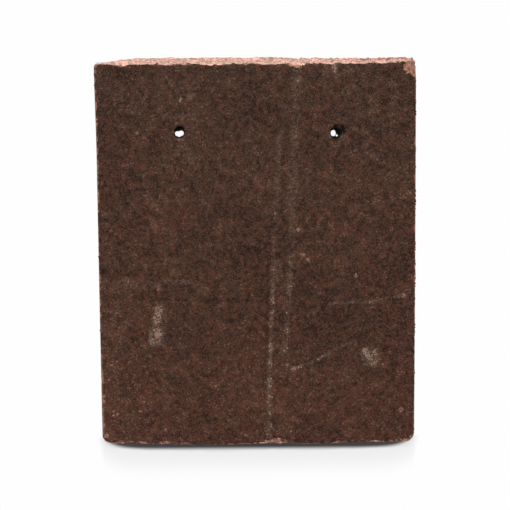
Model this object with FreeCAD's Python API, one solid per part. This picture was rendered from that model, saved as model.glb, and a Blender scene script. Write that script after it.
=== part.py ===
"""Concrete eaves tile: the short plain tile that goes under the first full course at the eaves.

It is one slab of extruded concrete, cambered both ways, with two nibs on its back and two nail holes.
It lies face up on a level floor, on the flat tips of its nibs and the two lower corners of its tail.
+X is across the tile, +Y runs from the tail to the head and +Z is up, out of the face.

The tile is made in the slab's own frame, whose origin is the middle of the face, and is then laid down.
All sizes are in millimetres and degrees.
"""

import FreeCAD, Part
import math
import os

from FreeCAD import Placement, Rotation, Vector

# Slab
WIDTH = 165.0
LENGTH = 205.5  # along the back, from the tail's lower arris to the head's
THICKNESS = 12.0
CROSS_CAMBER = 4.8  # how far the middle of the face stands above its two sides
LONG_CAMBER = 2.0  # how far the middle of the face stands above its head and tail
END_LEAN = 2.3  # each cut end leans out by this much from the face to the back
TAIL_CORNER_RADIUS = 4.0
HEAD_CORNER_RADIUS = 1.5
RIM_RADIUS = 0.8  # rounding of the face's rim

# Nibs, which hook over the batten
NIB_SPACING = 84.0  # centre to centre
NIB_WIDTH = 30.0
NIB_LENGTH = 15.0
NIB_DEPTH = 11.0  # from the slab's back to the tip, in the middle of the nib
NIB_FROM_HEAD = 4.0
NIB_DRAFT = 20.0  # lean of the nib's head side and flanks
NIB_EDGE_RADIUS = 2.0
NIB_ROOT = 5.0  # how far the nib's own block reaches into the slab

# Nail holes, punched through from the face
HOLE_RADIUS = 2.6
HOLE_SPACING = 80.2
HOLE_SHIFT = 0.7  # the pair of holes sits this far to the +X side of the middle
HOLE_STAGGER = 0.7  # the -X hole is nearer the head by this much, and the +X hole farther from it
HOLE_FROM_HEAD = 35.0  # along the face, from the head's arris
HOLE_SLANT = 13.0  # the hole runs this much towards the tail on its way down
MOUTH_FLARE = 0.5  # how far the crumbled rim stands back from the hole's wall at the face
MOUTH_DEPTH = 1.0

# Broken corners at the head. Each break runs this far along the end, along the side and down the corner
FACE_BREAK = (6.5, 8.0, 6.0)  # from the face, on the +X side
BACK_BREAK = (22.0, 7.0, -10.5)  # from the back, on the -X side, so it runs up the corner

# Construction
OVERRUN = 30.0  # how far blanks and cutting tools reach past what they cut
SETTLING_ROUNDS = 4  # rounds of finding where the tile touches the floor
ON_SURFACE = 0.01


def bow_radius(chord, rise):
    """Radius of an arc that stands up by rise in the middle of a chord."""
    return (chord / 2) ** 2 / (2 * rise) + rise / 2


CROSS_RADIUS = bow_radius(WIDTH, CROSS_CAMBER)
LONG_RADIUS = bow_radius(LENGTH - 2 * END_LEAN, LONG_CAMBER)
FACE_END = LENGTH / 2 - END_LEAN


def height_at(x, y, depth=0.0):
    """Height over (x, y) of the cambered surface that lies depth below the face."""
    along = math.sqrt((LONG_RADIUS - depth) ** 2 - y**2) - LONG_RADIUS
    return math.sqrt((CROSS_RADIUS + along) ** 2 - x**2) - CROSS_RADIUS


def bow_edge(half_chord, depth):
    """Arc along the middle of the slab, depth below its face, from the tail to the head."""
    points = [Vector(0, y, height_at(0, y, depth)) for y in (-half_chord, 0, half_chord)]
    return Part.Arc(*points).toShape()


def half_space(point, normal):
    """A large block that fills the side of a plane that its normal points to."""
    side = 4 * (WIDTH + LENGTH)
    block = Part.makeBox(side, side, side, Vector(-side / 2, -side / 2, 0))
    block.Placement = Placement(point, Rotation(Vector(0, 0, 1), normal))
    return block


def middle_of(edge):
    """The point halfway along an edge."""
    return edge.valueAt((edge.FirstParameter + edge.LastParameter) / 2)


def slab():
    """The cambered slab: its long section swung across the width, squared off and rounded."""
    face = bow_edge(FACE_END, 0)
    back = bow_edge(LENGTH / 2, THICKNESS)
    ends = [Part.makeLine(face.Vertexes[i].Point, back.Vertexes[i].Point) for i in (0, 1)]
    section = Part.Face(Part.Wire([face, ends[1], back, ends[0]]))
    half_swing = math.degrees(math.asin((WIDTH / 2 + OVERRUN) / CROSS_RADIUS))
    swing_axis = (Vector(0, 0, -CROSS_RADIUS), Vector(0, 1, 0))
    section.rotate(*swing_axis, -half_swing)
    blank = section.revolve(*swing_axis, 2 * half_swing)
    for side in (-1, 1):
        blank = blank.cut(half_space(Vector(side * WIDTH / 2, 0, 0), Vector(side, 0, 0)))
    for end, radius in ((-1, TAIL_CORNER_RADIUS), (1, HEAD_CORNER_RADIUS)):
        blank = blank.makeFillet(radius, corner_edges(blank, end))
    return blank.makeFillet(RIM_RADIUS, rim_edges(blank))


def corner_edges(shape, end):
    """The two upright edges at the tail, end -1, or at the head, end 1."""
    return [
        edge
        for edge in shape.Edges
        if abs(abs(middle_of(edge).x) - WIDTH / 2) < ON_SURFACE
        and end * middle_of(edge).y > FACE_END
        and edge.BoundBox.ZLength > THICKNESS / 2
    ]


def rim_edges(shape):
    """The edges all round the face."""
    points = [(edge, middle_of(edge)) for edge in shape.Edges]
    return [edge for edge, p in points if abs(p.z - height_at(p.x, p.y)) < ON_SURFACE]


def tail_contact(floor_slope):
    """Where a tail corner touches a floor of that slope, as (y, z): the lowest point of its rounding."""
    across = (WIDTH / 2) / CROSS_RADIUS
    along = (LENGTH / 2) / LONG_RADIUS - floor_slope
    turn = math.atan2(across, along)
    x = WIDTH / 2 - TAIL_CORNER_RADIUS * (1 - math.sin(turn))
    y = -LENGTH / 2 + TAIL_CORNER_RADIUS * (1 - math.cos(turn))
    return y, height_at(x, y, THICKNESS)


def floor_under_slab():
    """The floor that the tile lies on, in the slab's frame, as (slope along +Y, height at y = 0)."""
    nib_y = LENGTH / 2 - NIB_FROM_HEAD - NIB_LENGTH / 2
    nib_z = height_at(NIB_SPACING / 2, nib_y, THICKNESS) - NIB_DEPTH
    slope = 0.0
    for _ in range(SETTLING_ROUNDS):
        tail_y, tail_z = tail_contact(slope)
        slope = (nib_z - tail_z) / (nib_y - tail_y)
    return slope, nib_z - slope * nib_y


def nib(side):
    """One nib: square on its tail side, sloping on its head side and flanks, cut off level with the floor."""
    floor_slope, floor_z = floor_under_slab()
    x = side * NIB_SPACING / 2
    head_y = LENGTH / 2 - NIB_FROM_HEAD
    root_z = height_at(x, head_y, THICKNESS)
    low_corner = Vector(x - NIB_WIDTH, head_y - NIB_LENGTH, root_z - NIB_DEPTH - OVERRUN)
    height = NIB_DEPTH + OVERRUN + NIB_ROOT
    block = Part.makeBox(2 * NIB_WIDTH, NIB_LENGTH + NIB_ROOT, height, low_corner)
    lean = math.tan(math.radians(NIB_DRAFT))
    sides = [
        (Vector(0, head_y, root_z), Vector(0, 1, -lean)),
        (Vector(x - NIB_WIDTH / 2, 0, root_z), Vector(-1, 0, -lean)),
        (Vector(x + NIB_WIDTH / 2, 0, root_z), Vector(1, 0, -lean)),
        (Vector(0, 0, floor_z), Vector(0, floor_slope, -1)),
    ]
    for point, outward in sides:
        block = block.cut(half_space(point, outward))
    root_face_z = root_z + NIB_ROOT
    outer = [edge for edge in block.Edges if middle_of(edge).z < root_face_z - ON_SURFACE]
    return block.makeFillet(NIB_EDGE_RADIUS, outer)


def nail_hole(side):
    """The punch that makes one nail hole: a slanting pin with a short cone at the face."""
    x = HOLE_SHIFT + side * HOLE_SPACING / 2
    y = FACE_END - HOLE_FROM_HEAD - side * HOLE_STAGGER
    mouth = Vector(x, y, height_at(x, y))
    slant = math.radians(HOLE_SLANT)
    down = Vector(0, -math.sin(slant), -math.cos(slant))
    pin = Part.makeCylinder(HOLE_RADIUS, THICKNESS + 2 * OVERRUN, mouth - down * OVERRUN, down)
    cone = Part.makeCone(
        HOLE_RADIUS + 2 * MOUTH_FLARE,
        HOLE_RADIUS,
        2 * MOUTH_DEPTH,
        mouth - down * MOUTH_DEPTH,
        down,
    )
    return pin.fuse(cone)


def head_corner(side, depth, inwards=0.0, back=0.0):
    """A point near the head's corner, that far below the face, inwards from the side and back from the end."""
    x = side * (WIDTH / 2 - inwards)
    y = FACE_END + END_LEAN * depth / THICKNESS - back
    return Vector(x, y, height_at(x, y, depth))


def broken_corner(side, depth, runs):
    """The tool that breaks off the head's corner, which lies that far below the face."""
    along_end, along_side, down_corner = runs
    corner = head_corner(side, depth)
    on_end = head_corner(side, depth, inwards=along_end)
    on_side = head_corner(side, depth, back=along_side)
    on_edge = head_corner(side, depth + down_corner)
    outward = (on_end - on_edge).cross(on_side - on_edge)
    if outward.dot(corner - on_edge) < 0:
        outward = -outward
    return half_space(on_edge, outward)


def eaves_tile():
    """The whole tile, in the slab's frame."""
    tile = slab()
    for side in (-1, 1):
        tile = tile.fuse(nib(side))
    for side in (-1, 1):
        tile = tile.cut(nail_hole(side))
    tile = tile.cut(broken_corner(1, 0, FACE_BREAK))
    tile = tile.cut(broken_corner(-1, THICKNESS, BACK_BREAK))
    return tile.removeSplitter()


def laid_down(tile):
    """The tile on a level floor at z = 0, over the origin."""
    floor_slope, floor_z = floor_under_slab()
    tile = tile.copy()
    tile.translate(Vector(0, 0, -floor_z))
    tile.rotate(Vector(0, 0, 0), Vector(1, 0, 0), -math.degrees(math.atan(floor_slope)))
    bounds = tile.optimalBoundingBox(True, False)
    tile.translate(Vector(-bounds.Center.x, -bounds.Center.y, 0))
    return tile


os.makedirs("parts", exist_ok=True)
laid_down(eaves_tile()).Solids[0].exportStep("parts/eaves_tile.step")
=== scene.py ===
"""Looks of the concrete eaves tile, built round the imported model.

The tile is one casting, so it stays one closed mesh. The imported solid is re-meshed finely, roughened where
the concrete is sanded, cut or broken, and dressed in one material that tells those surfaces apart by
attributes. The coarse sand that is pressed into its face is scattered over that mesh, a grain at a time, in
several shades. Lengths are in millimetres in the classes below, and become metres as they enter Blender.
"""

import logging
import math
from collections.abc import Sequence
from dataclasses import dataclass
from enum import Enum
from itertools import product
from typing import Any

import bmesh
import bpy
import numpy as np
from mathutils import Euler, Matrix, Vector
from mathutils.bvhtree import BVHTree


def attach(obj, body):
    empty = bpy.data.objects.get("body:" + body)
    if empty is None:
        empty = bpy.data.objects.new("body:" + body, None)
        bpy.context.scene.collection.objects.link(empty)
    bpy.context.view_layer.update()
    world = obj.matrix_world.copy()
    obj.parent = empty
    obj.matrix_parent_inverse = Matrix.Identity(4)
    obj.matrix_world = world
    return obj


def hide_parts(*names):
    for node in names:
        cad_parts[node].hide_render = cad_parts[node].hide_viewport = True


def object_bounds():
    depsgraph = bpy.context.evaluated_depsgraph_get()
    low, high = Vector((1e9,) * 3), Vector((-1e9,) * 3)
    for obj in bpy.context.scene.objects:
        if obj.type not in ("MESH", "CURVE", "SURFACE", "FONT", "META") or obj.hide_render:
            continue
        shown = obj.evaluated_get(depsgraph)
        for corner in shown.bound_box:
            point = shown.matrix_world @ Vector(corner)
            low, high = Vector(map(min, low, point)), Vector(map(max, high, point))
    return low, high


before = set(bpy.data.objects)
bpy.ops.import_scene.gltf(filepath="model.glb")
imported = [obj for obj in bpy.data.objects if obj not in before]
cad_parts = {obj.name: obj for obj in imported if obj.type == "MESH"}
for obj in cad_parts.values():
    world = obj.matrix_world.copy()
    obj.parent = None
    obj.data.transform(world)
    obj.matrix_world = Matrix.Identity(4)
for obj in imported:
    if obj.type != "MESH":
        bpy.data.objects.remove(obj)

CAD_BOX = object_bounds()
NODE = "eaves_tile"
BODY = "root"
MM = 0.001

MERGE_WITHIN = 1e-6  # metres between corners of loose triangles that are one corner
FULL_TURN = 6.28  # radians
DULL = 0.15  # the specular level of dry concrete and sand
NOISE_ROUGHNESS = 0.6  # how strong each finer layer of a shader's noise is

# The seeded noise stirs a cell's place and its seed into one key
X_PRIME = 73856093
Y_PRIME = 19349663
Z_PRIME = 83492791
SEED_PRIME = 2654435761
STIR = 1274126177
SEED_SHIFT = 17.31  # cells between one seed's noise and the next
LUMP_RANGE = 1.6  # brings what is usual in it to about -1 to 1

# How squarely a surface looks along an axis: where it starts to count as facing that way, and is fully so
FACE_UP = 0.98
SQUARELY = (0.5, 0.85)
CUT_SQUARELY = (0.75, 0.9)
OFF_ARRIS = (0.78, 0.97)
BACK_DOWN = (0.3, 0.6)
UNDER_SIDE = (-0.2, 0.2)

log = logging.getLogger("eaves_tile")

Colour = tuple[float, float, float, float]
Place = tuple[float, float]  # across and along the face
Span = tuple[float, float]  # where something begins, and where it is full
Point = tuple[float, float, float]
WHITE: Colour = (1.0, 1.0, 1.0, 1.0)


def rgb(red: float, green: float, blue: float) -> Colour:
    """Turns a colour as it is seen, 0 to 255 a channel, into the linear values that shaders take."""
    shares = [channel / 255 for channel in (red, green, blue)]
    linear = [c / 12.92 if c <= 0.04045 else ((c + 0.055) / 1.055) ** 2.4 for c in shares]
    return (linear[0], linear[1], linear[2], 1.0)


def lumps(points: np.ndarray, size: float | Point, seed: int) -> np.ndarray:
    """Smooth seeded noise between about -1 and 1.

    Args:
        points: Places, one a row.
        size: How far apart the lumps are, along every axis or along each one.
        seed: Which noise.

    Returns:
        One number for each place.
    """
    cell_at = points / np.asarray(size, dtype=float) + seed * SEED_SHIFT
    cell = np.floor(cell_at).astype(np.int64)
    within = cell_at - cell
    within = within * within * (3 - 2 * within)
    total = np.zeros(len(points))
    for corner in product((0, 1), repeat=3):
        at = cell + np.array(corner)
        key = (at[:, 0] * X_PRIME) ^ (at[:, 1] * Y_PRIME) ^ (at[:, 2] * Z_PRIME) ^ (seed * SEED_PRIME)
        key = (key ^ (key >> 13)) * STIR & 0xFFFFFFFF
        share = np.prod(np.where(np.array(corner) == 1, within, 1 - within), axis=1)
        total += share * (((key ^ (key >> 16)) & 0xFFFF) / 0x8000 - 1)
    return total * LUMP_RANGE


def ease(values: np.ndarray, low: float, high: float) -> np.ndarray:
    """Rises smoothly from 0 at low to 1 at high."""
    part = np.clip((values - low) / (high - low), 0, 1)
    return part * part * (3 - 2 * part)


class Value:
    """A shader or geometry value that adds Math nodes when it is used in an expression."""

    def __init__(self, nodes: "Nodes", socket: bpy.types.NodeSocket) -> None:
        """Wraps an output socket of the tree that nodes adds to."""
        self.nodes = nodes
        self.socket = socket

    def _maths(self, operation: str, *operands: Any) -> "Value":
        """Adds one Math node."""
        return self.nodes.add("ShaderNodeMath", {"operation": operation}, dict(enumerate(operands)))

    def __add__(self, other: Any) -> "Value":
        """self + other."""
        return self._maths("ADD", self, other)

    def __radd__(self, other: Any) -> "Value":
        """other + self."""
        return self._maths("ADD", other, self)

    def __sub__(self, other: Any) -> "Value":
        """self - other."""
        return self._maths("SUBTRACT", self, other)

    def __rsub__(self, other: Any) -> "Value":
        """other - self."""
        return self._maths("SUBTRACT", other, self)

    def __mul__(self, other: Any) -> "Value":
        """self * other."""
        return self._maths("MULTIPLY", self, other)

    def __rmul__(self, other: Any) -> "Value":
        """other * self."""
        return self._maths("MULTIPLY", other, self)

    def __pow__(self, other: Any) -> "Value":
        """self to the power other."""
        return self._maths("POWER", self, other)

    def most(self, other: Any) -> "Value":
        """The larger of the two."""
        return self._maths("MAXIMUM", self, other)

    def least(self, other: Any) -> "Value":
        """The smaller of the two."""
        return self._maths("MINIMUM", self, other)

    def above(self, other: Any) -> "Value":
        """1 where self is larger, and 0 elsewhere."""
        return self._maths("GREATER_THAN", self, other)

    def ease(self, low: float, high: float) -> "Value":
        """Rises smoothly from 0 at low to 1 at high, or falls where low is the larger."""
        ends = (low, high, 0.0, 1.0) if low < high else (high, low, 1.0, 0.0)
        names = ("From Min", "From Max", "To Min", "To Max")
        values = {"Value": self, **dict(zip(names, ends))}
        return self.nodes.add("ShaderNodeMapRange", {"interpolation_type": "SMOOTHSTEP"}, values)


class Nodes:
    """Adds nodes to one tree."""

    def __init__(self, tree: bpy.types.NodeTree) -> None:
        """Starts on an empty tree."""
        self.tree = tree
        tree.nodes.clear()

    def add(
        self,
        kind: str,
        settings: dict[str, Any] | None = None,
        inputs: dict[str | int, Any] | None = None,
        output: str | int = 0,
    ) -> Value:
        """Adds a node, sets it up and fills its sockets.

        Args:
            kind: The node's type.
            settings: Its properties, which are set before its sockets.
            inputs: A number, colour, vector or Value for each socket, by name, identifier or index.
            output: The output to return.

        Returns:
            The chosen output.
        """
        node = self.tree.nodes.new(kind)
        for name, setting in (settings or {}).items():
            setattr(node, name, setting)
        for name, value in (inputs or {}).items():
            socket = self._socket(node.inputs, name)
            if isinstance(value, Value):
                self.tree.links.new(value.socket, socket)
            else:
                socket.default_value = value
        found = self._socket(node.outputs, output) if len(node.outputs) else None
        return Value(self, found)

    @staticmethod
    def _socket(sockets: Any, name: str | int) -> bpy.types.NodeSocket:
        """Finds a socket by index, identifier or name."""
        if isinstance(name, int):
            return sockets[name]
        for socket in sockets:
            if socket.identifier == name:
                return socket
        return sockets[name]

    def place(self) -> Value:
        """The place on the piece, in metres."""
        return self.add("ShaderNodeTexCoord", output="Object")

    def attribute(self, name: str) -> Value:
        """A number that the mesh holds under that name."""
        return self.add("ShaderNodeAttribute", {"attribute_name": name}, output="Fac")

    def noise(self, at: Value, size: float, detail: float, shift: float = 0.0) -> Value:
        """Makes noise between about 0 and 1.

        Args:
            at: The place on the piece, in metres.
            size: How far apart its lumps are, in millimetres.
            detail: How many finer layers it has.
            shift: How far it is moved, in metres, so that it doesn't follow another noise.

        Returns:
            The noise.
        """
        if shift:
            at = self.add("ShaderNodeVectorMath", {"operation": "ADD"}, {0: at, 1: (shift, shift, shift)})
        inputs = {"Vector": at, "Scale": 1 / (size * MM), "Detail": detail, "Roughness": NOISE_ROUGHNESS}
        return self.add("ShaderNodeTexNoise", {"normalize": True}, inputs, "Fac")

    def mix(self, share: Any, first: Any, second: Any) -> Value:
        """A colour between two colours."""
        settings = {"data_type": "RGBA", "blend_type": "MIX", "clamp_factor": True}
        inputs = {"Factor_Float": share, "A_Color": first, "B_Color": second}
        return self.add("ShaderNodeMix", settings, inputs, "Result_Color")

    def scaled(self, colour: Value, by: Value) -> Value:
        """A colour made lighter or darker by a number."""
        return self.add("ShaderNodeVectorMath", {"operation": "SCALE"}, {0: colour, "Scale": by})

    def surface(self, shader: Value) -> None:
        """Makes a shader the material's surface."""
        self.add("ShaderNodeOutputMaterial", inputs={"Surface": shader})


def new_material(name: str) -> tuple[bpy.types.Material, Nodes]:
    """Makes an empty node material, and what adds its nodes."""
    material = bpy.data.materials.new(name)
    material.use_nodes = True
    return material, Nodes(material.node_tree)


def show(mesh: bpy.types.Mesh, name: str) -> bpy.types.Object:
    """Puts a mesh in the scene as an object at the origin."""
    thing = bpy.data.objects.new(name, mesh)
    bpy.context.scene.collection.objects.link(thing)
    return thing


def baked(thing: bpy.types.Object, name: str) -> bpy.types.Mesh:
    """The plain mesh that an object's modifiers make of it."""
    graph = bpy.context.evaluated_depsgraph_get()
    mesh = bpy.data.meshes.new_from_object(thing.evaluated_get(graph), depsgraph=graph)
    mesh.name = name
    return mesh


def places_of(mesh: bpy.types.Mesh) -> np.ndarray:
    """The mesh's vertices in millimetres."""
    found = np.empty(len(mesh.vertices) * 3, np.float32)
    mesh.vertices.foreach_get("co", found)
    return found.reshape(-1, 3).astype(float) / MM


def normals_of(mesh: bpy.types.Mesh) -> np.ndarray:
    """The mesh's vertex normals."""
    found = np.empty(len(mesh.vertices) * 3, np.float32)
    mesh.vertex_normals.foreach_get("vector", found)
    return found.reshape(-1, 3).astype(float)


def set_places(mesh: bpy.types.Mesh, places: np.ndarray) -> None:
    """Moves the mesh's vertices to places in millimetres."""
    mesh.vertices.foreach_set("co", (places * MM).astype(np.float32).ravel())
    mesh.update()


def set_numbers(mesh: bpy.types.Mesh, name: str, values: np.ndarray) -> None:
    """Stores a number on every vertex under that name."""
    layer = mesh.attributes.new(name, "FLOAT", "POINT")
    layer.data.foreach_set("value", values.astype(np.float32))


class Solid:
    """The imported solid, asked where its surfaces are. Places are in millimetres."""

    def __init__(self, node: bpy.types.Object) -> None:
        """Copies a CAD node's mesh, with its loose triangles merged."""
        shell = bmesh.new()
        shell.from_mesh(node.data)
        bmesh.ops.remove_doubles(shell, verts=shell.verts, dist=MERGE_WITHIN)
        self.mesh = bpy.data.meshes.new("tile_solid")
        shell.to_mesh(self.mesh)
        shell.free()
        places = [Vector(p) for p in places_of(self.mesh)]
        faces = [(tuple(f.vertices), f.normal) for f in self.mesh.polygons]
        self.tree = BVHTree.FromPolygons(places, [v for v, _ in faces])
        self.face_tree = BVHTree.FromPolygons(places, [v for v, n in faces if n.z > FACE_UP])

    def nearest(self, place: Point | Vector) -> Vector:
        """The place on the solid nearest to a place."""
        return self.tree.find_nearest(Vector(place))[0]

    def below_face(self, places: np.ndarray) -> np.ndarray:
        """How far each place is from the sanded face."""
        return np.array([self.face_tree.find_nearest(Vector(p))[3] for p in places])

    def facing(self, places: np.ndarray) -> np.ndarray:
        """The way the solid faces nearest to each place."""
        return np.array([self.tree.find_nearest(Vector(p))[1] for p in places])


@dataclass(frozen=True)
class Bite:
    """A spot where concrete is missing, or with a depth below 0, where a lump is left standing."""

    place: Point
    radius: float
    depth: float
    stretch: float = 1.0  # how many times longer it is along X
    bare: float = 1.0  # how much of the facing is gone
    grime_and_shade: float = 0.0  # how dark it is painted, for grime and for the shade in its hollow


@dataclass(frozen=True)
class NailHole:
    """A nail hole's place at the face. Its wall is painted dark, for the grime in it and the shade deep
    inside.
    """

    x: float
    y: float
    z: float
    slant: float = 10.9  # degrees that it leans towards the head
    radius: float = 3.4
    clean: float = 0.45  # how deep the painted dark of grime and shade begins
    fade: float = 0.3  # and over how far it fades in

    def inside(self, at: np.ndarray) -> np.ndarray:
        """How surely each place is on the hole's wall, painted dark for grime and shade, from 0 to 1."""
        lean = math.radians(self.slant)
        up = np.array([0.0, math.sin(lean), math.cos(lean)])
        away = at - np.array([self.x, self.y, self.z])
        depth = -(away @ up)
        off_axis = np.linalg.norm(away + depth[:, None] * up, axis=1)
        deep = ease(depth, self.clean - self.fade, self.clean + self.fade)
        return deep * (1 - ease(off_axis, self.radius, self.radius + self.fade))


@dataclass(frozen=True)
class Scuff:
    """A mark where the facing is rubbed pale, or with a strength below 0, where it stays dark.

    It is a soft line between two places on the face.
    """

    start: Place
    end: Place
    width: float  # from its middle to where it ends
    strength: float
    soft: float = 0.7  # the share of that width over which it fades

    def mark(self, at: np.ndarray) -> np.ndarray:
        """How strongly each place is marked."""
        start, end = np.array(self.start), np.array(self.end)
        along = end - start
        share = np.clip((at[:, :2] - start) @ along / max(along @ along, 1e-9), 0, 1)
        away = np.linalg.norm(at[:, :2] - start - share[:, None] * along, axis=1)
        return ease(1 - away / self.width, 0, self.soft) * self.strength


def rubbed_line(
    places: Sequence[Place], widths: Sequence[float], strengths: Sequence[float]
) -> list[Scuff]:
    """A bent scuff, as one straight stretch after another.

    Args:
        places: Its ends and bends on the face.
        widths: Half the width of each stretch.
        strengths: How strong each stretch is.

    Returns:
        The stretches.
    """
    return [Scuff(*stretch) for stretch in zip(places, places[1:], widths, strengths)]


SCUFFS = (
    *rubbed_line(
        (
            (21.3, 99.4),
            (20.4, 78.4),
            (19.2, 51.5),
            (18.3, 24.4),
            (17.6, -3.0),
            (16.3, -21.6),
            (14.4, -52.0),
        ),
        (3.6, 3.6, 3.2, 2.6, 2.0, 2.0),
        (0.22, 0.22, 0.25, 0.24, 0.32, 0.26),
    ),
    *rubbed_line(
        (
            (12.2, 64.0),
            (10.2, 33.3),
            (8.8, -2.9),
            (7.9, -21.5),
            (7.1, -40.2),
            (6.4, -59.1),
            (5.9, -77.6),
            (5.4, -97.0),
        ),
        (1.9, 1.9, 1.7, 1.6, 1.7, 1.8, 1.8),
        (0.22, 0.21, 0.36, 0.48, 0.56, 0.42, 0.28),
    ),
    *rubbed_line(((6.2, 2.0), (5.0, -30.0), (4.2, -60.0)), (1.0, 1.0), (-0.35, -0.3)),
    Scuff((-28.0, 32.0), (0.0, 14.0), 26.0, -0.10),
    Scuff((38.0, 74.0), (62.0, 52.0), 24.0, -0.08),
    *rubbed_line(((-78.2, -14.1), (-52.0, -14.6), (-30.0, -13.9)), (3.8, 3.8), (0.12, 0.09)),
    *rubbed_line(((-64.0, -21.4), (-30.0, -22.6), (1.0, -23.1)), (1.4, 1.6), (-0.2, -0.3)),
    *rubbed_line(
        ((38.0, -25.0), (47.1, -25.1), (59.1, -24.6), (80.7, -21.1)),
        (0.9, 0.8, 0.9),
        (0.26, 0.46, 0.50),
    ),
    Scuff((-51.6, -28.4), (-52.4, -33.6), 3.0, 1.05),
    Scuff((-52.3, -34.8), (-52.8, -39.0), 2.6, 0.60),
    Scuff((-52.8, -40.6), (-53.7, -44.6), 4.8, 1.05),
    Scuff((-52.2, -39.8), (-53.5, -43.4), 3.2, 1.60),
    Scuff((-50.6, -29.0), (-52.0, -45.0), 5.4, 0.30),
    Scuff((58.0, -52.6), (59.4, -55.6), 6.2, 0.60),
    Scuff((56.6, -50.8), (58.2, -54.6), 2.2, 1.60),
    Scuff((59.8, -55.4), (61.4, -57.8), 1.7, 1.05),
    Scuff((18.7, -59.8), (20.2, -59.4), 1.3, 1.20),
    *rubbed_line(
        ((20.0, -59.3), (24.5, -58.3), (30.8, -55.7), (37.1, -52.0), (50.8, -45.5)),
        (1.2, 1.3, 1.3, 1.6),
        (0.65, 0.32, 0.55, 0.2),
    ),
    Scuff((40.8, 99.6), (40.2, 95.4), 1.9, 0.75),
    Scuff((36.0, 99.0), (35.0, 94.0), 1.3, 0.25),
    Scuff((-37.2, 58.0), (-35.8, 44.0), 4.0, 0.10),
    Scuff((38.6, 62.2), (43.4, 62.0), 1.3, 0.45),
    Scuff((23.9, 0.9), (24.1, 0.4), 1.2, 1.5),
    Scuff((26.5, -1.6), (27.0, -3.0), 1.0, 1.1),
    Scuff((51.1, -10.6), (51.3, -10.8), 1.1, 1.2),
    Scuff((21.6, 14.3), (21.8, 13.9), 1.1, 0.9),
    Scuff((-61.7, 64.8), (-61.5, 64.4), 1.3, 0.7),
    Scuff((62.0, 76.0), (55.0, 74.0), 3.0, 0.25),
    Scuff((58.0, 64.0), (52.0, 66.0), 2.6, 0.20),
    Scuff((-38.0, 82.0), (-34.0, 84.0), 3.0, 0.22),
    Scuff((-40.0, 74.0), (-30.0, 72.5), 2.4, 0.22),
)


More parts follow.
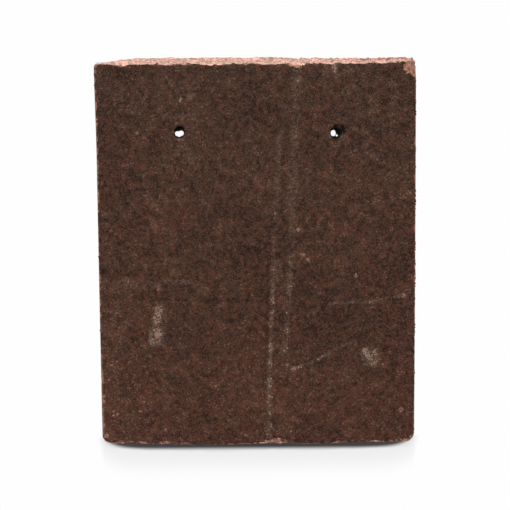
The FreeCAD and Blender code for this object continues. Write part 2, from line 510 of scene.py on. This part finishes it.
@dataclass
class TileBody:
    """The tile as one closed mesh, with rough faces, cut ends, broken corners and worn edges."""

    solid: Solid
    voxel: float = 0.55
    triangles: int = 192_000
    end_wave: float = 0.35
    end_grit: float = 0.20
    face_wave: float = 0.14
    face_grit: float = 0.08
    back_wave: float = 0.06
    edge_depth: float = 0.30  # how deep its arrises are worn
    bite_grit: float = 0.35  # how rough a bite's bottom is, as a share of its depth
    bite_ragged: float = 0.25  # how ragged its outline is, as a share of its radius
    bite_slope: float = 0.7  # the share of its radius over which it falls to its full depth
    bite_bare: float = 1.6  # how fast the facing goes towards its middle
    flare: float = 0.6  # how much wider the head is on its -X side
    flare_from: Place = (55.0, 50.0)  # how far from the middle it begins, across and along
    wrap: float = 2.6  # how far the facing runs down the tile's sides
    wrap_at_ends: float = 0.35
    face_end: float = 100.3  # from the middle to the face's arris at the head or the tail
    end_begins: float = 3.0  # how far in from that arris a surface can start to be an end
    end_sure: float = 1.0
    side: float = 82.5
    holes: tuple[NailHole, ...] = (NailHole(-39.4, 65.57, 23.02), NailHole(40.8, 64.17, 22.93))
    bites: tuple[Bite, ...] = (
        # The first two widen the right nail hole's mouth and are painted dark for grime and shade
        Bite((43.6, 65.7, 23.0), 3.2, 1.7, 1.15, 0.0, 1.0),
        Bite((41.4, 66.8, 23.0), 2.2, 1.3, 1.2, 0.0, 1.0),
        Bite((-39.4, 61.6, 23.0), 1.6, 0.5, 1.2, 0.6),
        Bite((80.6, 98.6, 19.0), 4.4, 0.25, 1.0),
        Bite((81.4, 95.4, 18.6), 3.6, 0.35, 0.8),
        Bite((78.6, 99.6, 19.4), 2.4, 0.3, 1.0),
        Bite((78.4, 96.2, 20.0), 2.9, 0.6, 0.9),
        Bite((77.4, 98.6, 20.0), 1.9, 0.4, 0.8),
        Bite((60.0, 102.7, 9.7), 9.0, 1.6, 5.5, 0.0),
        Bite((82.3, 102.5, 7.8), 6.2, 2.3, 1.1, 0.0),
        Bite((21.3, 100.8, 23.5), 2.8, 1.0, 1.9),
        Bite((20.5, 101.6, 12.0), 2.6, 1.0, 1.0),
        Bite((39.4, 100.6, 22.5), 1.6, 0.5, 1.2, 0.7),
        Bite((-68.2, 100.8, 20.5), 1.8, 0.6, 2.0, 0.8),
        Bite((-23.0, 100.8, 24.0), 1.1, 0.8, 1.3, 0.4),
        Bite((-5.1, 101.0, 23.5), 1.6, 0.5, 1.6, 0.6),
        Bite((-3.0, 102.6, 12.5), 6.0, -0.3, 1.4),
        Bite((75.1, -83.4, 14.0), 1.9, 0.5, 1.1),
        Bite((-61.9, -83.1, 14.0), 1.1, 0.25, 1.6, 0.45),
        Bite((9.0, -99.8, 17.0), 3.2, 1.5, 2.2),
        Bite((3.0, -101.0, 16.0), 5.0, 0.6, 3.0, 0.0),
        Bite((-50.0, -100.4, 14.7), 1.8, 0.5, 2.6, 0.9),
        Bite((-38.5, -100.5, 15.4), 1.1, 0.4, 3.6, 0.9),
        Bite((-63.0, -100.4, 13.9), 1.1, 0.3, 2.6, 0.9),
        Bite((-79.8, -96.6, 11.9), 1.8, 0.4, 1.0, 0.6),
        Bite((-73.0, -100.2, 12.8), 1.2, 0.5, 2.4),
        Bite((81.5, -98.5, 11.9), 2.0, 0.5, 1.0),
        Bite((43.5, -100.5, 15.2), 1.1, 0.4, 5.0, 0.9),
        Bite((62.0, -100.4, 13.8), 1.0, 0.4, 6.0, 0.7),
        Bite((82.3, -45.0, 15.0), 1.4, 0.5, 0.6),
        Bite((82.3, -14.0, 17.5), 1.2, 0.4, 0.6),
        Bite((-82.3, -67.0, 13.6), 1.8, 0.5, 0.6),
    )

    def build(self) -> bpy.types.Object:
        """Makes the finished tile.

        Returns:
            The tile's object. Its vertices hold coat, cut, pallet, scuff, tone, rust and the dark painted
            for grime and shade in the holes.
        """
        mesh = self.fine_mesh()
        self.roughen(mesh)
        mesh = self.thinned(mesh)
        self.mark_surfaces(mesh)
        for polygon in mesh.polygons:
            polygon.use_smooth = True
        tile = show(mesh, "tile")
        mesh.materials.append(TileConcrete().material())
        return tile

    def fine_mesh(self) -> bpy.types.Mesh:
        """The solid as an even fine mesh."""
        blank = show(self.solid.mesh, "tile_blank")
        remesh = blank.modifiers.new("even", "REMESH")
        remesh.mode = "VOXEL"
        remesh.voxel_size = self.voxel * MM
        mesh = baked(blank, "tile_fine")
        bpy.data.objects.remove(blank)
        return mesh

    def roughen(self, mesh: bpy.types.Mesh) -> None:
        """Moves the surface in and out as sand, saw and wear have left it."""
        at, way = places_of(mesh), normals_of(mesh)
        face, back = ease(way[:, 2], *SQUARELY), ease(-way[:, 2], *SQUARELY)
        ends = self.on_ends(at, way, SQUARELY)
        edge = 1 - ease(np.abs(way).max(axis=1), *OFF_ARRIS)
        move = face * (self.face_wave * lumps(at, 11, 1) + self.face_grit * lumps(at, 1.5, 2))
        move += back * self.back_wave * (lumps(at, 9, 3) + 0.5 * lumps(at, 2.2, 4))
        move += ends * self.end_wave * lumps(at, (7, 3, 4), 5)
        move += ends * self.end_grit * (lumps(at, 2.2, 6) + 0.6 * lumps(at, 1.2, 7))
        move -= edge * self.edge_depth * ease(lumps(at, 3.2, 8) + 0.5 * lumps(at, 1.6, 9), -0.2, 0.9)
        for bite in self.bites:
            near = self.within(bite, at)
            move -= bite.depth * near * (1 + self.bite_grit * lumps(at, 1.3, 10))
        moved = at + way * move[:, None]
        across, along = self.flare_from
        wider = self.flare * ease(at[:, 1], along, self.face_end) * ease(-at[:, 0], across, self.side)
        moved[:, 0] -= wider
        set_places(mesh, moved)

    def on_ends(self, at: np.ndarray, way: np.ndarray, squarely: Span) -> np.ndarray:
        """How surely each place is on a cut end.

        Args:
            at: The places.
            way: The way that the surface looks at each one.
            squarely: How squarely it looks along the tile where it starts to count, and where it fully does.

        Returns:
            One number for each place, from 0 to 1.
        """
        out = np.abs(at[:, 1])
        near_arris = ease(out, self.face_end - self.end_begins, self.face_end - self.end_sure)
        return ease(np.abs(way[:, 1]), *squarely) * near_arris

    def within(self, bite: Bite, at: np.ndarray) -> np.ndarray:
        """How far into a bite each place is: 0 outside it, 1 at its middle."""
        middle = np.array(self.solid.nearest(bite.place))
        away = (at - middle) / bite.radius
        away[:, 0] /= bite.stretch
        inwards = 1 - np.linalg.norm(away, axis=1) + self.bite_ragged * lumps(at, 1.1, 11)
        return ease(inwards, 0.0, self.bite_slope)

    def thinned(self, mesh: bpy.types.Mesh) -> bpy.types.Mesh:
        """The same surface in fewer triangles, most of them where it is roughest."""
        thing = show(mesh, "tile_fine")
        count = sum(len(p.vertices) - 2 for p in mesh.polygons)
        thin = thing.modifiers.new("thin", "DECIMATE")
        thin.ratio = min(1.0, self.triangles / count)
        made = baked(thing, "tile")
        bpy.data.objects.remove(thing)
        return made

    def mark_surfaces(self, mesh: bpy.types.Mesh) -> None:
        """Stores on every vertex how it was made and what has happened to it."""
        at = places_of(mesh)
        way = self.solid.facing(at)
        ends = self.on_ends(at, way, CUT_SQUARELY)
        back = ease(-way[:, 2], *BACK_DOWN)
        under = (1 - ends) * ease(-way[:, 2], *UNDER_SIDE)
        ragged = 1 + 4 * np.clip(lumps(at, 2.6, 24) - 0.15, 0, 1)
        wrap = self.wrap * (1 + 0.6 * lumps(at, 9, 12)) * (1 - ends) + self.wrap_at_ends * ragged * ends
        coat = 0.5 + (wrap - self.solid.below_face(at)) * 0.5
        coat = np.clip(coat, 0, 1) - self.edge_wear(at)
        # Painted dark: the nail holes' walls and the spalls by one, for grime and the shade inside
        grime_and_shade = np.maximum.reduce([hole.inside(at) for hole in self.holes])
        for bite in self.bites:
            near = self.within(bite, at)
            if bite.depth > 0:
                coat -= self.bite_bare * bite.bare * near
            grime_and_shade = np.maximum(grime_and_shade, bite.grime_and_shade * ease(near, 0.1, 0.3))
        scuff = self.scuffed(at)
        coat = np.maximum(coat, grime_and_shade)
        set_numbers(mesh, "coat", np.clip(coat, 0, 1))
        set_numbers(mesh, "cut", ends)
        set_numbers(mesh, "pallet", np.clip(back + under, 0, 1))
        set_numbers(mesh, "grime_and_shade", grime_and_shade)
        set_numbers(mesh, "scuff", scuff)
        tone = 0.5 + 0.19 * lumps(at, 1.8, 14) + 0.08 * lumps(at, 5, 15) + 0.09 * lumps(at, 40, 16)
        tone += 0.07 * ease(-at[:, 1], 40, 90) * ease(-at[:, 0], 20, 75)
        rust = 0.5 + 0.19 * lumps(at, 2.0, 17) + 0.07 * lumps(at, 9, 18) - at[:, 1] / 700
        set_numbers(mesh, "tone", tone)
        set_numbers(mesh, "rust", rust - 1.1 * np.clip(scuff, 0, 0.35))

    def edge_wear(self, at: np.ndarray) -> np.ndarray:
        """How much of the facing has worn off the face's edges."""
        left, right = self.side + at[:, 0], self.side - at[:, 0]
        tail, head = self.face_end + at[:, 1], self.face_end - at[:, 1]
        low_left = ease(-at[:, 1], 55, 80) * ease(-at[:, 0], 10, 60)
        spots = ease(lumps(at, (2.4, 1.6, 2.0), 19) + 0.5 * lumps(at, 1.2, 20), -0.25, 0.75)
        patches = ease(lumps(at, 9, 23), -0.3, 0.6)
        wear = (0.38 + 0.45 * spots) * (1 - ease(left, 0.5, 1.5))
        wear += (0.28 + 0.55 * spots) * low_left * (1 - ease(left, 1.2, 3.6))
        wear += (0.25 + 0.45 * spots) * (1 - ease(right, 0.3, 1.2))
        wear += 0.85 * spots * patches * ease(np.abs(at[:, 0] + 5), 18, 34) * (1 - ease(tail, 0.4, 1.5))
        wear += 0.50 * spots * (1 - ease(head, 0.6, 1.8))
        return wear

    @staticmethod
    def scuffed(at: np.ndarray) -> np.ndarray:
        """How much each place is rubbed pale, or below 0, how much darker it has stayed."""
        marks = [scuff.mark(at) for scuff in SCUFFS]
        broken = np.clip(1 + 0.35 * lumps(at, 2.4, 21) + 0.4 * lumps(at, 1.3, 22), 0, 2)
        nothing = np.zeros(len(at))
        return (np.maximum.reduce([*marks, nothing]) + np.minimum.reduce([*marks, nothing])) * broken


@dataclass(frozen=True)
class TileConcrete:
    """The tile's finish: dark sanded facing over through-coloured salmon concrete."""

    brown: Colour = rgb(75, 54, 43)
    red: Colour = rgb(83, 52, 41)
    pale: Colour = rgb(158, 129, 113)
    # The cut ends: the same concrete as the broken chips, painted lighter for the light that falls on the
    # head end
    salmon: Colour = rgb(211, 167, 151)
    broken: Colour = rgb(153, 110, 92)
    pallet: Colour = rgb(150, 108, 93)
    laitance: Colour = rgb(178, 152, 140)
    # Grime and painted shade, in the nail holes and the spalls by one
    grime_and_shade: Colour = rgb(24, 19, 17)
    bump_strength: float = 0.55
    bump_depth: float = 0.25
    stone_size: float = 1.5  # the fine stones in the concrete, where it is cut or broken
    darkest_facing: float = 0.25  # the least that the speckle leaves of a colour
    darkest_bare: float = 0.3

    def material(self) -> bpy.types.Material:
        """Builds the material."""
        made, nodes = new_material("tile_concrete")
        at = nodes.place()
        fine = nodes.noise(at, 0.75, 1.5)
        grain = nodes.noise(at, 1.6, 2.0, 0.3)
        facing = self.facing(nodes, fine, grain)
        bare = self.bare(nodes, at, fine, grain)
        coat = nodes.attribute("coat") + (grain - 0.5) * 0.55 + (fine - 0.5) * 0.35
        colour = nodes.mix(coat.ease(0.42, 0.58), bare, facing)
        # Painted dark for grime and shade in the nail holes
        colour = nodes.mix(nodes.attribute("grime_and_shade"), colour, self.grime_and_shade)
        relief = fine * 0.6 + grain * 0.4
        bump = nodes.add(
            "ShaderNodeBump",
            inputs={"Strength": self.bump_strength, "Distance": self.bump_depth * MM, "Height": relief},
        )
        rough = nodes.attribute("pallet") * -0.12 + (grain * 0.08 + 0.88)
        shader = nodes.add(
            "ShaderNodeBsdfPrincipled",
            inputs={"Base Color": colour, "Roughness": rough, "Specular IOR Level": DULL, "Normal": bump},
        )
        nodes.surface(shader)
        return made

    def facing(self, nodes: Nodes, fine: Value, grain: Value) -> Value:
        """The dark sanded coat, with its scuffs."""
        tone, scuff = nodes.attribute("tone"), nodes.attribute("scuff")
        hue = (nodes.attribute("rust") + (grain - 0.5) * 1.2).ease(0.25, 0.75)
        colour = nodes.mix(hue, self.brown, self.red)
        light = (fine - 0.5) * 2.2 + (grain - 0.5) * 1.6 + (tone - 0.5) * 1.4 + scuff.least(0.0) * 0.7 + 1.0
        colour = nodes.scaled(colour, light.most(self.darkest_facing))
        share = scuff.most(0.0) * (grain * 0.7 + fine * 0.7).ease(0.45, 1.0)
        return nodes.mix(share, colour, self.pale)

    def bare(self, nodes: Nodes, at: Value, fine: Value, grain: Value) -> Value:
        """The concrete itself: cut at the ends and painted lighter there for the light on the head end,
        broken at the chips and smooth off the pallet.
        """
        cloud = nodes.noise(at, 9, 3.0, 1.3)
        fit = {"Vector": at, "Scale": 1 / (self.stone_size * MM)}
        stones = nodes.add("ShaderNodeTexVoronoi", {"feature": "F1"}, fit, "Color")
        tone = nodes.add("ShaderNodeSeparateColor", inputs={"Color": stones}, output="Red")
        # Painted light: the cut ends are lighter than the broken concrete
        cut = nodes.mix(nodes.attribute("cut"), self.broken, self.salmon)
        light = (tone - 0.5) * 0.8 + (fine - 0.5) * 2.0 + (grain - 0.5) * 1.3 + (cloud - 0.5) * 0.7 + 1.0
        cut = nodes.scaled(cut, light.most(self.darkest_bare))
        smooth = nodes.mix(cloud.ease(0.45, 0.75), self.pallet, self.laitance)
        smooth = nodes.scaled(smooth, (fine - 0.5) * 0.35 + (grain - 0.5) * 0.3 + 1.0)
        return nodes.mix(nodes.attribute("pallet"), cut, smooth)


NO_LIMIT = 9.0  # past every tone and rust
RUST_FROM = 0.5


class Pigment(Enum):
    """The colours of sand in the facing, by how rusty a grain has to be to be one of them."""

    DRAB = (-NO_LIMIT, RUST_FROM)
    RUSTY = (RUST_FROM, NO_LIMIT)
    ANY = (-NO_LIMIT, NO_LIMIT)


@dataclass(frozen=True)
class SandShade:
    """The grains of one shade: their colour, and the tones of grain that they are."""

    name: str
    colour: Colour
    pigment: Pigment
    lightest: float
    darkest: float = -NO_LIMIT
    roughness: float = 0.9

    def material(self) -> bpy.types.Material:
        """Builds the material."""
        made, nodes = new_material(f"sand_{self.name}")
        inputs = {"Base Color": self.colour, "Roughness": self.roughness, "Specular IOR Level": DULL}
        nodes.surface(nodes.add("ShaderNodeBsdfPrincipled", inputs=inputs))
        return made


SAND = (
    SandShade("coal", rgb(38, 29, 25), Pigment.ANY, 0.18),
    SandShade("umber", rgb(60, 45, 36), Pigment.DRAB, 0.52, 0.18),
    SandShade("rust", rgb(67, 44, 35), Pigment.RUSTY, 0.52, 0.18),
    SandShade("drab", rgb(88, 67, 55), Pigment.DRAB, 0.92, 0.52),
    SandShade("brick", rgb(100, 66, 54), Pigment.RUSTY, 0.92, 0.52),
    SandShade("buff", rgb(119, 90, 76), Pigment.ANY, 1.24, 0.92),
    SandShade("chalk", rgb(166, 136, 121), Pigment.ANY, NO_LIMIT, 1.24),
)


@dataclass
class FacingSand:
    """The coarse sand pressed into the face, a grain at a time."""

    tile: bpy.types.Object
    shade: SandShade
    seed: int = 3
    spacing: float = 0.62
    per_square_metre: float = 1_900_000
    smallest: float = 0.32  # half a grain's width
    largest: float = 0.60
    thinnest: float = 0.75  # a grain's least and most stretch along each axis
    longest: float = 1.2
    held_by: Span = (0.55, 0.9)  # how much facing holds the first grains, and how much holds them all

    def build(self) -> bpy.types.Object:
        """Scatters the grains and makes those of this shade one mesh.

        Returns:
            The object that holds every grain of this shade.
        """
        name = f"sand_{self.shade.name}"
        holder = show(self.tile.data.copy(), f"{name}_holder")
        scatter = holder.modifiers.new("scatter", "NODES")
        scatter.node_group = self.tree(self.shade.material())
        sizes = {"Spacing": self.spacing * MM, "Density": self.per_square_metre, "Seed": self.seed}
        sizes |= {"Smallest": self.smallest * MM, "Largest": self.largest * MM}
        sizes |= {"Darkest": self.shade.darkest, "Lightest": self.shade.lightest}
        sizes |= dict(zip(("Least rust", "Most rust"), self.shade.pigment.value))
        for item in scatter.node_group.interface.items_tree:
            if item.item_type == "SOCKET" and item.name in sizes:
                scatter[item.identifier] = sizes[item.name]
        holder.update_tag()
        grains = show(baked(holder, name), name)
        bpy.data.objects.remove(holder)
        return grains

    def tree(self, material: bpy.types.Material) -> bpy.types.NodeTree:
        """The node tree that scatters grains over a tile and keeps those of one shade."""
        tree = bpy.data.node_groups.new(f"scatter_{self.shade.name}_sand", "GeometryNodeTree")
        numbers = ("Spacing", "Density", "Smallest", "Largest")
        numbers += ("Darkest", "Lightest", "Least rust", "Most rust")
        tree.interface.new_socket("Geometry", in_out="INPUT", socket_type="NodeSocketGeometry")
        for name in numbers:
            tree.interface.new_socket(name, in_out="INPUT", socket_type="NodeSocketFloat")
        tree.interface.new_socket("Seed", in_out="INPUT", socket_type="NodeSocketInt")
        tree.interface.new_socket("Geometry", in_out="OUTPUT", socket_type="NodeSocketGeometry")
        nodes = Nodes(tree)
        given = {name: nodes.add("NodeGroupInput", output=name) for name in ("Geometry", *numbers, "Seed")}
        # No sand where the holes are painted dark for grime and shade
        facing = (self.stored(nodes, "coat") - self.stored(nodes, "grime_and_shade")).ease(*self.held_by)
        points = nodes.add(
            "GeometryNodeDistributePointsOnFaces",
            {"distribute_method": "POISSON"},
            {
                "Mesh": given["Geometry"],
                "Distance Min": given["Spacing"],
                "Density Max": given["Density"],
                "Density Factor": facing,
                "Seed": given["Seed"],
            },
            "Points",
        )
        kept = nodes.add(
            "GeometryNodeSeparateGeometry",
            {"domain": "POINT"},
            {"Geometry": points, "Selection": self.of_this_shade(nodes, given)},
            "Selection",
        )
        octahedron = {"Segments": 4, "Rings": 2, "Radius": 1.0}
        grain = nodes.add("GeometryNodeMeshUVSphere", inputs=octahedron, output="Mesh")
        turn = self.random(nodes, "FLOAT_VECTOR", (0.0,) * 3, (FULL_TURN,) * 3, given["Seed"])
        width = self.random(nodes, "FLOAT", given["Smallest"], given["Largest"], given["Seed"])
        shape = self.random(nodes, "FLOAT_VECTOR", (self.thinnest,) * 3, (self.longest,) * 3, given["Seed"])
        size = nodes.add("ShaderNodeVectorMath", {"operation": "SCALE"}, {0: shape, "Scale": width})
        placed = nodes.add(
            "GeometryNodeInstanceOnPoints",
            inputs={"Points": kept, "Instance": grain, "Rotation": turn, "Scale": size},
            output="Instances",
        )
        loose = nodes.add("GeometryNodeRealizeInstances", inputs={"Geometry": placed}, output="Geometry")
        dressed = nodes.add(
            "GeometryNodeSetMaterial", inputs={"Geometry": loose, "Material": material}, output="Geometry"
        )
        nodes.add("NodeGroupOutput", inputs={"Geometry": dressed})
        return tree

    def of_this_shade(self, nodes: Nodes, given: dict[str, Value]) -> Value:
        """Whether a grain's tone and rust put it in this shade."""
        chance = self.random(nodes, "FLOAT", 0.0, 1.0, given["Seed"])
        other_chance = self.random(nodes, "FLOAT", 0.0, 1.0, given["Seed"] + 1)
        tone = chance * 0.9 + self.stored(nodes, "tone") * 1.1 - 0.5 + self.stored(nodes, "scuff") * 0.9
        rust = other_chance * 0.6 + self.stored(nodes, "rust") * 0.9 - 0.25
        right_tone = tone.above(given["Darkest"]) * (1 - tone.above(given["Lightest"]))
        return right_tone * rust.above(given["Least rust"]) * (1 - rust.above(given["Most rust"]))

    @staticmethod
    def stored(nodes: Nodes, name: str) -> Value:
        """A number that the tile's mesh holds under that name."""
        kind = {"data_type": "FLOAT"}
        return nodes.add("GeometryNodeInputNamedAttribute", kind, {"Name": name}, "Attribute")

    @staticmethod
    def random(nodes: Nodes, kind: str, low: Any, high: Any, seed: Value) -> Value:
        """A random value for each grain."""
        suffix = "_001" if kind == "FLOAT" else ""
        inputs = {f"Min{suffix}": low, f"Max{suffix}": high, "Seed": seed}
        return nodes.add("FunctionNodeRandomValue", {"data_type": kind}, inputs, f"Value{suffix}")


@dataclass(frozen=True)
class StudioFloor:
    """A white floor that keeps the tile's shadow, with painted shade past it and painted light under the
    nail holes.
    """

    name: str = "studio_floor"
    half_width: float = 2500.0
    white: Colour = (0.55, 0.55, 0.55, 1.0)
    glow: float = 0.98  # how much of the floor beside the tile is its own white
    glow_in_painted_shade: float = 0.75  # and how much just past the shadow at the tail, which leaves a painted shade there
    taper: float = 5.5  # how far the glow paints out the shadow at the tail's corners, as painted light
    taper_power: float = 12.0
    taper_beyond: float = 3.0  # and how steeply past them
    side_fade: float = 1.2  # over how far the shadow ends beside the tile
    tail_fade: float = 3.0  # over how far the light beside it ends at the tail, each way
    head_fade: Span = (4.0, 2.5)  # how far inside the head that light begins, and is full
    shadow: tuple[float, ...] = (3.1, 6.0, 22.0)  # past the tail: where the glow begins over the shadow, where the painted shade is faint and where it ends
    disc_fade: float = 0.2  # over how far a painted lit disc ends, each way
    painted_lit_discs: tuple[Point, ...] = (  # painted light: discs of the floor's own white under the nail holes, by x, y and reach
        (-41.0, 61.6, 1.75),
        (-39.2, 62.3, 1.35),
        (40.5, 61.5, 1.3),
        (40.4, 62.3, 1.15),
        (42.3, 60.5, 0.5),
    )

    def build(self) -> bpy.types.Object:
        """Makes the floor at the height of the tile's feet."""
        reach = self.half_width * MM
        mesh = bpy.data.meshes.new(self.name)
        corners = [(-reach, -reach, 0.0), (reach, -reach, 0.0), (reach, reach, 0.0), (-reach, reach, 0.0)]
        mesh.from_pydata(corners, [], [(0, 1, 2, 3)])
        made, nodes = new_material(self.name)
        matt = nodes.add("ShaderNodeBsdfDiffuse", inputs={"Color": self.white})
        glow = nodes.add("ShaderNodeEmission", inputs={"Color": WHITE, "Strength": 1.0})
        seen = nodes.add("ShaderNodeLightPath", output="Is Camera Ray")
        share = seen * self.glowing(nodes)
        nodes.surface(nodes.add("ShaderNodeMixShader", inputs={0: share, 1: matt, 2: glow}))
        mesh.materials.append(made)
        return show(mesh, self.name)

    def glowing(self, nodes: Nodes) -> Value:
        """How much of its own white each place shows: none under the tile or in its shadow, less in painted
        shade past the tail, all in painted light under the holes.
        """
        at = nodes.place()
        low, high = CAD_BOX
        x = nodes.add("ShaderNodeSeparateXYZ", inputs={0: at}, output="X")
        y = nodes.add("ShaderNodeSeparateXYZ", inputs={0: at}, output="Y")
        out = nodes.add("ShaderNodeMath", {"operation": "ABSOLUTE"}, {0: x})
        beside = out.ease(high.x, high.x + self.side_fade * MM)
        beside = beside * y.ease(low.y - self.tail_fade * MM, low.y + self.tail_fade * MM)
        # Painted light: at the tail's corners the glow comes in sooner and covers the shadow
        drawn_in = (out * (1 / high.x)) ** self.taper_power * (self.taper * MM)
        y_at_tail = y - drawn_in - (out - high.x).most(0.0) * self.taper_beyond
        beyond = y.ease(high.y - self.head_fade[0] * MM, high.y - self.head_fade[1] * MM)
        starts, half_lit, lit = (low.y - reach * MM for reach in self.shadow)
        # Past the shadow the glow rises slowly, leaving a painted shade that fades along the floor
        near_tail = y_at_tail.ease(starts, half_lit) * self.glow_in_painted_shade
        far_off = y_at_tail.ease(half_lit, lit) * (self.glow - self.glow_in_painted_shade)
        total = (beside.most(beyond) * self.glow).most(near_tail + far_off)
        # Painted light: discs under the nail holes glow white where the floor lies in the tile's shade
        for x_middle, y_middle, reach in self.painted_lit_discs:
            middle = (x_middle * MM, y_middle * MM, 0.0)
            away = nodes.add("ShaderNodeVectorMath", {"operation": "DISTANCE"}, {0: at, 1: middle}, "Value")
            total = total.most(away.ease((reach + self.disc_fade) * MM, (reach - self.disc_fade) * MM))
        return total


@dataclass(frozen=True)
class Lamp:
    """A soft rectangular lamp that points at the tile."""

    name: str
    azimuth: float  # degrees round from the tail's side, as seen from above
    elevation: float
    distance: float
    width: float
    height: float
    power: float

    def build(self) -> None:
        """Hangs the lamp."""
        light = bpy.data.lights.new(self.name, "AREA")
        light.shape = "RECTANGLE"
        light.size, light.size_y = self.width, self.height
        light.energy = self.power
        lamp = bpy.data.objects.new(self.name, light)
        turn, rise = math.radians(self.azimuth), math.radians(self.elevation)
        way = Vector((math.sin(turn) * math.cos(rise), -math.cos(turn) * math.cos(rise), math.sin(rise)))
        lamp.location = way * self.distance
        lamp.rotation_euler = way.to_track_quat("Z", "Y").to_euler()
        bpy.context.scene.collection.objects.link(lamp)


@dataclass
class Studio:
    """The floor, the lamps, the surrounding light and the camera."""

    lean: float = 8.8  # degrees that the camera stands off the vertical, towards the head
    roll: float = -0.445
    distance: float = 1.208
    lens: float = 164.5
    aim: Point = (-0.00101, 0.00098, 0.0230)
    surround: float = 0.12  # how bright the surrounding light is on the tile
    clip: tuple[float, float] = (0.05, 20.0)  # metres
    lamps: tuple[Lamp, ...] = (
        Lamp("key", 180, 66, 3.0, 0.8, 0.25, 69.0),
        Lamp("head_light", 180, 12, 2.5, 1.6, 0.5, 20.0),
    )

    def build(self) -> None:
        """Sets up everything that isn't the tile."""
        StudioFloor().build()
        for lamp in self.lamps:
            lamp.build()
        self.light_surround()
        self.place_camera()
        bpy.context.scene.view_settings.view_transform = "Standard"

    def light_surround(self) -> None:
        """Gives even light from all round, seen as white."""
        world = bpy.data.worlds.new("surround")
        world.use_nodes = True
        bpy.context.scene.world = world
        nodes = Nodes(world.node_tree)
        kinds = ("Camera", "Glossy", "Transmission")
        rays = [nodes.add("ShaderNodeLightPath", output=f"Is {kind} Ray") for kind in kinds]
        seen = rays[0].most(rays[1]).most(rays[2])
        strength = seen * (1.0 - self.surround) + self.surround
        light = nodes.add("ShaderNodeBackground", inputs={"Color": WHITE, "Strength": strength})
        nodes.add("ShaderNodeOutputWorld", inputs={"Surface": light})

    def place_camera(self) -> None:
        """Looks down on the tile from a little beyond its head."""
        data = bpy.data.cameras.new("camera")
        data.lens = self.lens
        data.clip_start, data.clip_end = self.clip
        camera = bpy.data.objects.new("camera", data)
        turn = Euler((math.radians(-self.lean), 0.0, 0.0)).to_matrix()
        roll = Matrix.Rotation(math.radians(self.roll), 3, "Z")
        camera.rotation_euler = (turn @ roll).to_euler()
        camera.location = Vector(self.aim) + turn @ Vector((0.0, 0.0, self.distance))
        bpy.context.scene.collection.objects.link(camera)
        bpy.context.scene.camera = camera


def main() -> None:
    """Builds the studio and the tile, and says which body each piece rides on."""
    logging.basicConfig(level=logging.INFO, format="%(name)s: %(message)s")
    Studio().build()
    tile = TileBody(Solid(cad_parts[NODE])).build()
    sands = [FacingSand(tile, shade).build() for shade in SAND]
    for piece in (tile, *sands):
        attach(piece, BODY)
        triangles = sum(len(p.vertices) - 2 for p in piece.data.polygons)
        log.info("%s rides on %s, %d triangles", piece.name, BODY, triangles)
    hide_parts(NODE)


if __name__ == "__main__":
    main()
